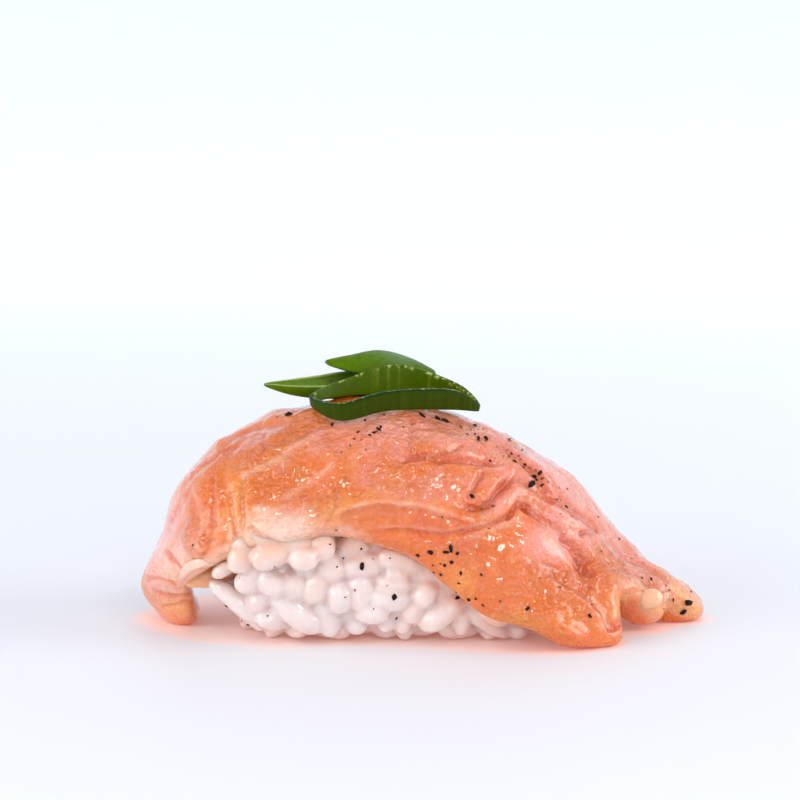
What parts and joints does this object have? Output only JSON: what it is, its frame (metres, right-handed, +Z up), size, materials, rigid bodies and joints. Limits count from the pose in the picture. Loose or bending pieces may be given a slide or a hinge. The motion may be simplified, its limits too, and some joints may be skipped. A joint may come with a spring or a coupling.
{
  "type": "salmon nigiri",
  "caption": "Slab of seared salmon draped over a pressed heap of rice, with bias-cut spring onion on top and flecks of ground pepper.",
  "frame": {"origin": "on the ground under the middle of the piece's outer box", "axes": "+Z up, +X along the slab's long side towards its low draped end, +Y away from the side that is cut lowest to show the rice"},
  "size_m": [0.0734, 0.0317, 0.0351],
  "materials": {
    "salmon": "moist translucent fish, lightly seared pink over orange, with a wet gloss",
    "rice": "translucent white cooked grains with a soft moist shine",
    "onion": "fresh green leaf, satin skin and a wet cut rim"
  },
  "bodies": {
    "root": {"salmon": "salmon", "rice": "rice", "onion_ring": "onion", "onion_low_leaf": "onion", "onion_top_leaf": "onion"}
  },
  "joints": []
}
